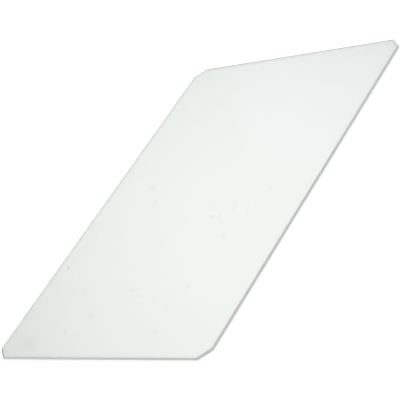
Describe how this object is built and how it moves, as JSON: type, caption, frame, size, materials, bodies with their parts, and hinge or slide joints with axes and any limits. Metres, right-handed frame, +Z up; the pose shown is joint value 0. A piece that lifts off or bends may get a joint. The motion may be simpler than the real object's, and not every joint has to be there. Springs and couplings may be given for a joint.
{
  "type": "fridge crisper cover",
  "caption": "Flat rectangular cover of clear toughened glass with clipped corners and ground, arrissed edges, which lies over the salad drawer of a fridge and serves as its lowest shelf.",
  "frame": {"origin": "middle of the underside, which rests on the ledges over the drawer", "axes": "+X along the length, across the fridge; +Y from the front edge to the back edge; +Z up, out of the top face"},
  "size_m": [0.47, 0.305, 0.0032],
  "materials": {
    "glass": "clear float glass with a faint green tint, polished faces and satin ground edges"
  },
  "bodies": {
    "root": {"glass_sheet": "glass"}
  },
  "joints": []
}
